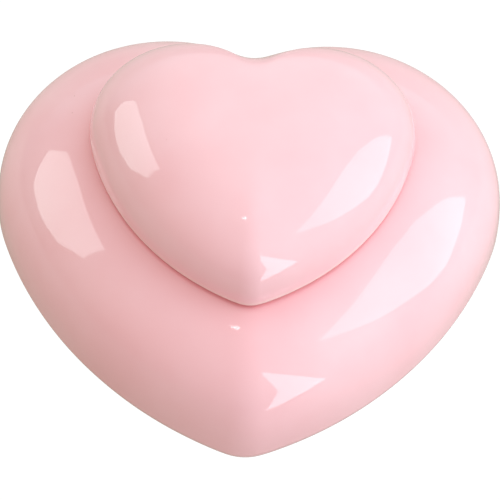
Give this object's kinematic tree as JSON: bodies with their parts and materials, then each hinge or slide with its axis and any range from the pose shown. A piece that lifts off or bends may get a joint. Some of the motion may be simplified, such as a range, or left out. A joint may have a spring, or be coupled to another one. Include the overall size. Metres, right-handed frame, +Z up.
{
  "type": "heart-shaped trinket box",
  "caption": "Glazed ceramic trinket box: a puffy heart-shaped jar with a smaller puffy heart as its lift-off lid, on felt foot pads.",
  "frame": {"origin": "on the surface that the box stands on, under the middle of the jar's length and width", "axes": "+Z up, through the jar and its lid; -Y towards the tip of the heart; +X to the right as seen from the tip"},
  "size_m": [0.12, 0.1116, 0.0646],
  "materials": {
    "glaze": "glossy light pink glaze over slip-cast earthenware",
    "felt": "pressed wool felt"
  },
  "bodies": {
    "jar": {"jar_body": "glaze", "foot_pad_left": "felt", "foot_pad_right": "felt", "foot_pad_tip": "felt"},
    "lid": {"lid": "glaze"}
  },
  "joints": [
    {"name": "lid_lift", "type": "slide", "parent": "jar", "child": "lid", "axis": [0, 0, 1], "range_m": [0, 0.09]}
  ]
}
